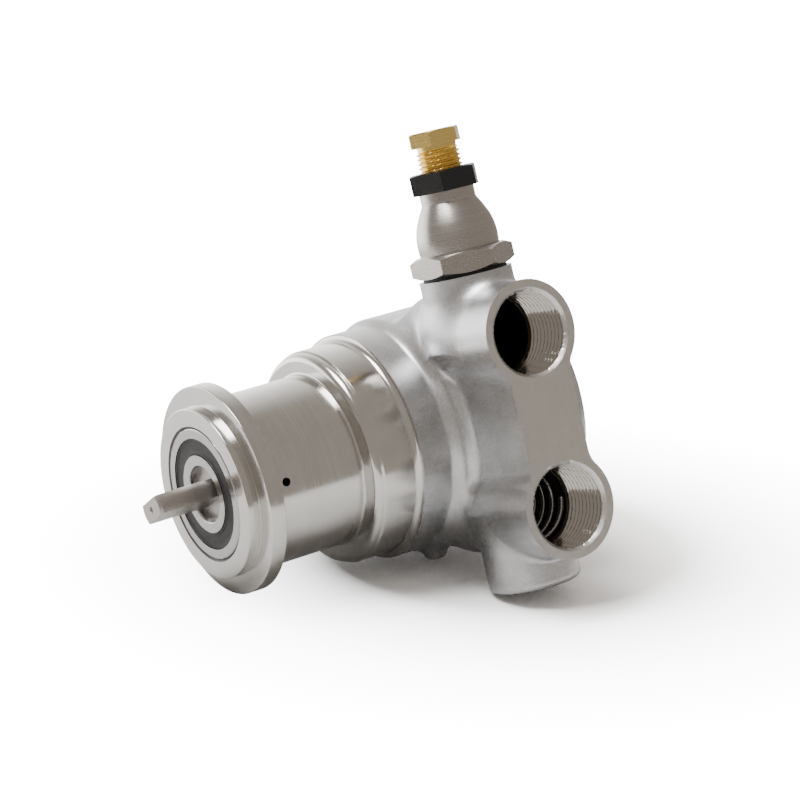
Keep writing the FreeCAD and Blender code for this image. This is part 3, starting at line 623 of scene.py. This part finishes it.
def plate_distance(x, y, z):
    """The drafted port plate: two bosses joined by a waisted web."""
    boss_r = BOSS_R + (BOSS_BACK_R - BOSS_R) * np.clip((y - FACE_Y) / (BOSS_END_Y - FACE_Y), 0, 1)
    side = WEB_HALF_WIDTH + WAIST_R
    waist_z = PORT_Z - np.sqrt((boss_r + WAIST_R) ** 2 - side**2)
    across = np.abs(x - PORT_X)
    height = np.abs(z)
    turn = np.arctan2(height - waist_z, side - across)
    last = np.arctan2(PORT_Z - waist_z, side)
    waist = WAIST_R - np.hypot(across - side, height - waist_z)
    boss = np.hypot(across, height - PORT_Z) - boss_r
    outline = np.where((turn <= last) & (across < side), waist, boss)
    outline = np.where(height < waist_z, across - WEB_HALF_WIDTH, outline)
    return common(outline, y - BOSS_END_Y, BOSS_END_ROUND)


def lead_radius(y):
    """The radius of the chamfer that leads into a port's thread."""
    return MOUTH_R - (y - FACE_Y) * (MOUTH_R - PORT_MINOR_R) / LEAD_LENGTH


def bores_distance(x, y, z):
    """Everything bored out of the casting: ports, feeds, valve bores and the shaft's rooms."""
    radius = np.hypot(y, z)
    height = np.abs(z)
    port = np.hypot(x - PORT_X, height - PORT_Z)
    feed = np.hypot(x - PORT_X, height - FEED_Z)
    valve = np.hypot(x - PORT_X, y - VALVE_Y)
    stages = [
        (port, y, FACE_Y - OVERRUN, FACE_Y + LEAD_LENGTH, lead_radius(y)),
        (port, y, FACE_Y + LEAD_LENGTH, THREAD_END_Y, THREAD_SEAT_R),
        (port, y, THREAD_END_Y - OVERLAP, PORT_BORE_END_Y, PORT_BORE_R),
        (feed, y, PORT_BORE_END_Y - OVERLAP, -CARTRIDGE_R / 2, FEED_R),
        (radius, x, RING_X, CARTRIDGE_X + OVERLAP, SEAL_ROOM_R),
        (radius, x, CARTRIDGE_X, GROOVE_X + OVERLAP, CARTRIDGE_R),
        (radius, x, GROOVE_X, GROOVE_END, GROOVE_R),
        (radius, x, GROOVE_X + OVERLAP, HOUSING_END + OVERRUN, END_BORE_R),
    ]
    stages += [(valve, z, low, high, size) for low, high, size in VALVE_BORES]
    result = np.full(np.shape(radius), FAR)
    for across, along, low, high, size in stages:
        stage = np.maximum(across - size, np.maximum(low - along, along - high))
        result = np.minimum(result, stage)
    return result


def casting_distance(x, y, z):
    """The cast part behind the machined ring, as a distance from its surface."""
    radius = np.hypot(y, z)
    rise = np.clip((x - RAMP_X) / RAMP_LENGTH, 0, 1)
    rise = rise * rise * (3 - 2 * rise)
    housing = radius - NECK_R - (HOUSING_R - NECK_R) * rise
    housing = common(housing, x - HOUSING_END, HOUSING_ROUND)
    plate = plate_distance(x, y, z)
    column = np.hypot(x - PORT_X, y - VALVE_Y) - COLUMN_R
    upper = np.maximum(column, np.maximum(PORT_Z - z, z - COLUMN_TOP))
    lower = common(np.maximum(column, z + PORT_Z), COLUMN_BOTTOM - z, COLUMN_ROUND)
    gate = np.hypot(x - GATE[0], y - GATE[1]) - GATE_R
    gate = common(np.maximum(gate, z + HOUSING_R / 2), GATE[2] - GATE_REACH - z, GATE_ROUND)
    solid = fused(fused(housing, plate, BODY_FILLET), upper, UPPER_FILLET)
    solid = np.minimum(fused(solid, lower, LOWER_FILLET), fused(housing, lower, UPPER_FILLET))
    solid = fused(solid, gate, GATE_FILLET)
    solid = np.maximum(solid, np.maximum(RING_END + COVE_R - x, FACE_Y - y))
    solid = np.maximum(solid, z - COLUMN_TOP)
    return np.maximum(solid, -bores_distance(x, y, z))


def crossings(distance, inside, low, axis, step):
    """Where the surface crosses the grid's lines along one axis, and its normals there."""
    first = [slice(None)] * 3
    second = [slice(None)] * 3
    first[axis] = slice(None, -1)
    second[axis] = slice(1, None)
    solid = inside[tuple(first)]
    index = np.argwhere(solid != inside[tuple(second)])
    starts_in = solid[tuple(index.T)]
    at = low + step * index
    near = np.zeros(len(index))
    far = np.full(len(index), step)
    for _ in range(HALVINGS):
        middle = (near + far) / 2
        probe = at.copy()
        probe[:, axis] += middle
        same = (distance(*probe.T) < 0) == starts_in
        near = np.where(same, middle, near)
        far = np.where(same, far, middle)
    at[:, axis] += (near + far) / 2
    normal = np.empty_like(at)
    for k in range(3):
        ahead = at.copy()
        behind = at.copy()
        ahead[:, k] += NORMAL_REACH
        behind[:, k] -= NORMAL_REACH
        normal[:, k] = distance(*ahead.T) - distance(*behind.T)
    normal /= np.maximum(np.linalg.norm(normal, axis=1, keepdims=True), 1e-9)
    return index, starts_in, at, normal


def surface(distance, low, high, step):
    """The surface of a distance function as quads that keep its sharp edges."""
    low = np.array(low, float)
    sizes = [int(ceil((b - a) / step)) + 1 for a, b in zip(low, high)]
    axes = [a + step * np.arange(n) for a, n in zip(low, sizes)]
    grid = np.meshgrid(*axes, indexing="ij", sparse=True)
    inside = distance(*grid) < 0
    flat = np.array([sizes[1] * sizes[2], sizes[2], 1])
    owners = []
    places = []
    normals = []
    for axis in range(3):
        index, starts_in, at, normal = crossings(distance, inside, low, axis, step)
        b, c = (axis + 1) % 3, (axis + 2) % 3
        ring = []
        for db, dc in ((0, 0), (-1, 0), (-1, -1), (0, -1)):
            cell = index.copy()
            cell[:, b] += db
            cell[:, c] += dc
            ring.append(cell @ flat)
        quad = np.stack(ring, axis=1)
        owners.append(np.where(starts_in[:, None], quad, quad[:, ::-1]))
        places.append(np.repeat(at, 4, axis=0))
        normals.append(np.repeat(normal, 4, axis=0))
    owners = np.concatenate(owners)
    cells, where = np.unique(owners.ravel(), return_inverse=True)
    where = where.ravel()
    corner = np.stack(np.unravel_index(cells, sizes), axis=1) * step + low
    points = nearest(np.concatenate(places), np.concatenate(normals), where, len(cells))
    return np.clip(points, corner, corner + step), where.reshape(-1, 4)


def nearest(place, normal, where, total):
    """The point of each cell that is nearest to all the planes met on the cell's edges."""

    def gather(values):
        return np.bincount(where, weights=values, minlength=total)

    count = gather(np.ones(len(where)))
    mean = np.stack([gather(place[:, k]) / count for k in range(3)], axis=1)
    offset = ((place - mean[where]) * normal).sum(axis=1)
    square = np.empty((total, 3, 3))
    right_side = np.empty((total, 3))
    for j in range(3):
        right_side[:, j] = gather(normal[:, j] * offset)
        for k in range(3):
            square[:, j, k] = gather(normal[:, j] * normal[:, k])
    values, vectors = np.linalg.eigh(square)
    strong = values > SHARPNESS * values[:, 2:3]
    inverse = np.where(strong, 1 / np.maximum(values, 1e-9), 0)
    along = np.einsum("nij,ni->nj", vectors, right_side) * inverse
    return mean + np.einsum("nij,nj->ni", vectors, along)


def cast_rear():
    """The casting behind the machined ring, with its milled face and its bores."""
    ends = (RING_END + COVE_R, FACE_Y, COLUMN_BOTTOM)
    low = [end - margin for end, margin in zip(ends, GRID_BEFORE)]
    high = [end + GRID_AFTER for end in (HOUSING_END, HOUSING_R, COLUMN_TOP)]
    points, faces = surface(casting_distance, low, high, CELL)
    middle = points[faces].mean(axis=1)
    x, y, z = middle.T
    inside = np.abs(bores_distance(x, y, z)) < ON_SURFACE
    port = np.hypot(x - PORT_X, np.abs(z) - PORT_Z) < PORT_BORE_R + FINISH_MARGIN
    face = (y < SLEEVE_Y) & (inside | (y < FACE_Y + ON_PLANE))
    top = z > COLUMN_TOP - ON_PLANE
    finish = np.where(inside | top, "bored", "cast_stainless")
    # The port bores past the thread get the near-black finish: painted shade deep in the bores
    finish = np.where(inside & port & (y > THREAD_END_Y - FINISH_MARGIN), "painted_shade_bore", finish)
    finish = np.where(face, "milled_face", finish)
    return points, faces, finish.tolist()


def thread_wave(phase):
    """A thread's profile over one pitch, from 0 at the crest to 1 at the root."""
    wave = 1 - np.abs(2 * (phase % 1.0) - 1)
    return np.clip((wave - THREAD_FLAT) / (1 - 2 * THREAD_FLAT), 0, 1)


def port_thread(z):
    """The threaded sleeve of one port, sunk slightly into the casting."""

    def inner(turn, y):
        wave = thread_wave((y - FACE_Y) / PORT_PITCH - turn / (2 * pi))
        fade = np.clip((THREAD_END_Y - y) / PORT_PITCH, 0, 1)
        thread = PORT_MINOR_R + (PORT_ROOT_R - PORT_MINOR_R) * wave * fade
        return np.maximum(thread, lead_radius(y) + LEAD_GAP)

    rows = np.arange(SLEEVE_Y, THREAD_END_Y + SLEEVE_SINK, THREAD_ROW)
    last = len(rows)
    outer = np.array([rows[-1], rows[0]])

    def radius(turn, y):
        inside = inner(turn, y[:, :last])
        shell = np.full((len(turn), len(outer)), THREAD_SEAT_R + SLEEVE_WALL)
        return np.concatenate([inside, shell], axis=1)

    along = np.concatenate([rows, outer])
    return swept("y", (PORT_X, z), along, radius, "thread", SLEEVE_SEGMENTS)


def screw():
    """The adjusting screw: a threaded shank, a relieved end and a hexagon head."""
    relief_z = HEAD_BOTTOM - RELIEF_LENGTH
    corner = HEAD_HEX / 2 / cos(pi / 6)
    shank = np.arange(SCREW_BOTTOM, relief_z, THREAD_ROW)
    sides = np.arange(HEAD_BOTTOM, HEAD_TOP - HEAD_CHAMFER, HEAD_ROW)
    chamfer = np.linspace(HEAD_TOP - HEAD_CHAMFER, HEAD_TOP, HEAD_CHAMFER_ROWS)
    head = np.concatenate([sides, chamfer])
    rows = np.concatenate([[SCREW_BOTTOM], shank, [relief_z, HEAD_BOTTOM], head, [HEAD_TOP]])
    first = 1
    second = first + len(shank)

    def radius(turn, z):
        result = np.zeros((len(turn), len(rows)))
        wave = thread_wave(shank[None, :] / SCREW_PITCH - turn / (2 * pi))
        lead = SCREW_ROOT_R + (shank - SCREW_BOTTOM)[None, :]
        fade = np.clip((relief_z - shank) / SCREW_PITCH, 0, 1)[None, :]
        thread = SCREW_R - (SCREW_R - SCREW_ROOT_R) * (1 - (1 - wave) * fade)
        result[:, first:second] = np.minimum(thread, lead)
        result[:, second : second + 2] = RELIEF_R
        from_flat = (turn - radians(HEAD_TURN)) % (pi / 3) - pi / 6
        hexagon = np.minimum(HEAD_HEX / 2 / np.cos(from_flat), corner - HEAD_CORNER_FLAT)
        below = (HEAD_TOP - head)[None, :]
        cone = HEAD_HEX / 2 - HEAD_EDGE + below / CONE_SLOPE
        bend = np.sqrt(np.clip(below / HEAD_EDGE, 0, 1))
        edge = HEAD_HEX / 2 + HEAD_RIM - HEAD_EDGE * (1 - bend)
        edge = np.where(below < HEAD_EDGE, edge, FAR)
        result[:, second + 2 : -1] = np.minimum(np.minimum(hexagon, edge), cone)
        return result

    return swept("z", (PORT_X, VALVE_Y), rows, radius, "brass", SCREW_SEGMENTS)


def seal_ring(x0, x1, way):
    """A bearing seal: a lip, a shallow dish and a bead at the rim, open face towards way."""
    face = x0 if way < 0 else x1
    back = x1 if way < 0 else x0
    dish = face - way * SEAL_DISH
    corners = [
        (back, SEAL_INNER_R, 0.1),
        (face, SEAL_INNER_R, 0.15),
        (face, SEAL_INNER_R + SEAL_BEAD, 0.15),
        (dish, SEAL_INNER_R + SEAL_BEAD + SEAL_DISH_SLOPE, 0.15),
        (dish, SEAL_OUTER_R - SEAL_BEAD - SEAL_DISH_SLOPE, 0.15),
        (face, SEAL_OUTER_R - SEAL_BEAD, 0.15),
        (face, SEAL_OUTER_R - SEAL_RIM, 0.2),
        (back, SEAL_OUTER_R, 0.1),
    ]
    along, radius = rounded(corners).T
    return swept("x", (0, 0), along, radius, "seal_rubber", SEAL_SEGMENTS)


dress_nodes()
piece(
    "body",
    [turned_front(), cast_rear(), port_thread(PORT_Z), port_thread(-PORT_Z)],
    "housing",
    ["pump_body"],
)
piece("screw_piece", [screw()], "screw", ["adjusting_screw"])
piece(
    "seal_rings",
    [
        seal_ring(SEAL_FRONT_X, SEAL_FRONT_X + SEAL_THICKNESS, -1),
        seal_ring(SEAL_BACK_X - SEAL_THICKNESS, SEAL_BACK_X, 1),
    ],
    "housing",
    ["bearing_seals"],
)


right = Vector(CAMERA_RIGHT).normalized()
forward = Vector(CAMERA_FORWARD).normalized()
up = right.cross(forward).normalized()


def set_camera():
    data = bpy.data.cameras.new("camera")
    data.sensor_width = SENSOR
    data.lens = LENS
    data.clip_start = 0.01
    data.clip_end = 100
    camera = bpy.data.objects.new("camera", data)
    turn = Matrix((right, up, -forward)).transposed().to_4x4()
    camera.matrix_world = Matrix.Translation(Vector(CAMERA_PLACE) * MM) @ turn
    bpy.context.scene.collection.objects.link(camera)
    bpy.context.scene.camera = camera


def set_floor():
    """The white floor on which the flange's rim and the valve column's foot rest."""
    normal = Vector(FLOOR_NORMAL).normalized()
    half = FLOOR_HALF * MM
    corners = [(-half, -half, 0), (half, -half, 0), (half, half, 0), (-half, half, 0)]
    mesh = bpy.data.meshes.new("floor")
    mesh.from_pydata(corners, [], [(0, 1, 2, 3)])
    floor = bpy.data.objects.new("floor", mesh)
    floor.rotation_mode = "QUATERNION"
    floor.rotation_quaternion = normal.to_track_quat("Z", "Y")
    middle = Vector(FLOOR_MIDDLE)
    floor.location = (middle + normal * (FLOOR_LEVEL - middle.dot(normal))) * MM
    bpy.context.scene.collection.objects.link(floor)
    made = bpy.data.materials.new("floor")
    made.use_nodes = True
    tree = made.node_tree
    tree.nodes.clear()
    seen = put(tree, "ShaderNodeLightPath").outputs["Is Camera Ray"]
    place = put(tree, "ShaderNodeTexCoord").outputs["Object"]
    paper = spread(tree, noise(tree, place, PAPER_SCALE), *PAPER_LEVELS)
    level = spread(tree, seen, FLOOR_ALBEDO, FLOOR_SEEN, (0, 1))
    # Ambient occlusion paints the floor darker near the pump: a painted contact shadow on top of the
    # rendered one
    reach = {"Distance": PAINTED_SHADOW_REACH * MM}
    sky = put(tree, "ShaderNodeAmbientOcclusion", reach, samples=PAINTED_SHADOW_SAMPLES).outputs["AO"]
    painted_shadow = spread(tree, sky, PAINTED_SHADOW_LEVEL, 1, (0, 1))
    shade = product(tree, product(tree, paper, level), painted_shadow)
    near = put(tree, "ShaderNodeBsdfDiffuse", {"Color": shade})
    # Near the pump the floor keeps its dimmer lit level and further out it turns to white light: the
    # grey round the pump is partly painted shade, partly the rendered shadows
    away = put(tree, "ShaderNodeVectorMath", {0: place}, operation="LENGTH").outputs["Value"]
    fade = spread(tree, away, 0, 1, (WHITE_FROM * MM, WHITE_TO * MM))
    blend = product(tree, fade, seen)
    far = put(tree, "ShaderNodeEmission", {"Color": (1, 1, 1, 1), "Strength": WHITE_LEVEL})
    sheet = put(tree, "ShaderNodeMixShader", {0: blend, 1: near.outputs[0], 2: far.outputs[0]})
    clear = put(tree, "ShaderNodeBsdfTransparent")
    behind = put(tree, "ShaderNodeNewGeometry").outputs["Backfacing"]
    mixed = put(tree, "ShaderNodeMixShader", {0: behind, 1: sheet.outputs[0], 2: clear.outputs[0]})
    put(tree, "ShaderNodeOutputMaterial", {"Surface": mixed.outputs[0]})
    mesh.materials.append(made)


def set_world():
    """A warm dim room, bright behind the pump and on its left, and white for the camera."""
    world = bpy.data.worlds.new("world")
    bpy.context.scene.world = world
    world.use_nodes = True
    tree = world.node_tree
    tree.nodes.clear()
    ray = put(tree, "ShaderNodeTexCoord").outputs["Generated"]

    def share(way, low, high, first, last, kind="SMOOTHSTEP"):
        """A level that changes with how far a direction points one way."""
        along = put(tree, "ShaderNodeVectorMath", {0: ray, 1: way[:]}, operation="DOT_PRODUCT")
        inputs = {"Value": along.outputs["Value"], "From Min": low, "From Max": high}
        inputs |= {"To Min": first, "To Max": last}
        return put(tree, "ShaderNodeMapRange", inputs, interpolation_type=kind).outputs[0]

    ramp = put(tree, "ShaderNodeValToRGB", {"Fac": share(forward, -1, 1, 0, 1, "LINEAR")})
    stops = ramp.color_ramp.elements
    while len(stops) < len(BACK):
        stops.new(0.5)
    for stop, (depth, level) in zip(stops, BACK):
        stop.position = (depth + 1) / 2
        stop.color = (level, level, level, 1)
    side = share(right, *BACK_SIDES, BACK_LEVEL, 0.0)
    left = right * LEFT_WAY[0] + forward * LEFT_WAY[1]
    lobe = share(left, *LEFT_SPAN, 0, LEFT_LEVEL)
    lights = [
        put(tree, "ShaderNodeBackground", {"Color": (*ROOM_COLOUR, 1), "Strength": ROOM_LEVEL}),
        put(tree, "ShaderNodeBackground", {"Color": ramp.outputs["Color"], "Strength": side}),
        put(tree, "ShaderNodeBackground", {"Color": (1, 1, 1, 1), "Strength": lobe}),
    ]
    room = lights[0].outputs[0]
    for light in lights[1:]:
        room = put(tree, "ShaderNodeAddShader", {0: room, 1: light.outputs[0]}).outputs[0]
    white = put(tree, "ShaderNodeBackground", {"Color": (1, 1, 1, 1), "Strength": WHITE_LEVEL})
    seen = put(tree, "ShaderNodeLightPath").outputs["Is Camera Ray"]
    mixed = put(tree, "ShaderNodeMixShader", {0: seen, 1: room, 2: white.outputs[0]})
    put(tree, "ShaderNodeOutputWorld", {"Surface": mixed.outputs[0]})


def set_soft_box():
    """The studio's soft box, above on the left, aimed at the pump."""
    offset = right * BOX_PLACE[0] + up * BOX_PLACE[1] - forward * BOX_PLACE[2]
    data = bpy.data.lights.new("soft_box", "AREA")
    data.size = BOX_SIZE * MM
    data.energy = BOX_POWER
    lamp = bpy.data.objects.new("soft_box", data)
    lamp.location = (Vector(BOX_TARGET) + offset) * MM
    lamp.rotation_mode = "QUATERNION"
    lamp.rotation_quaternion = (-offset).to_track_quat("-Z", "Y")
    bpy.context.scene.collection.objects.link(lamp)


set_camera()
set_floor()
set_world()
set_soft_box()
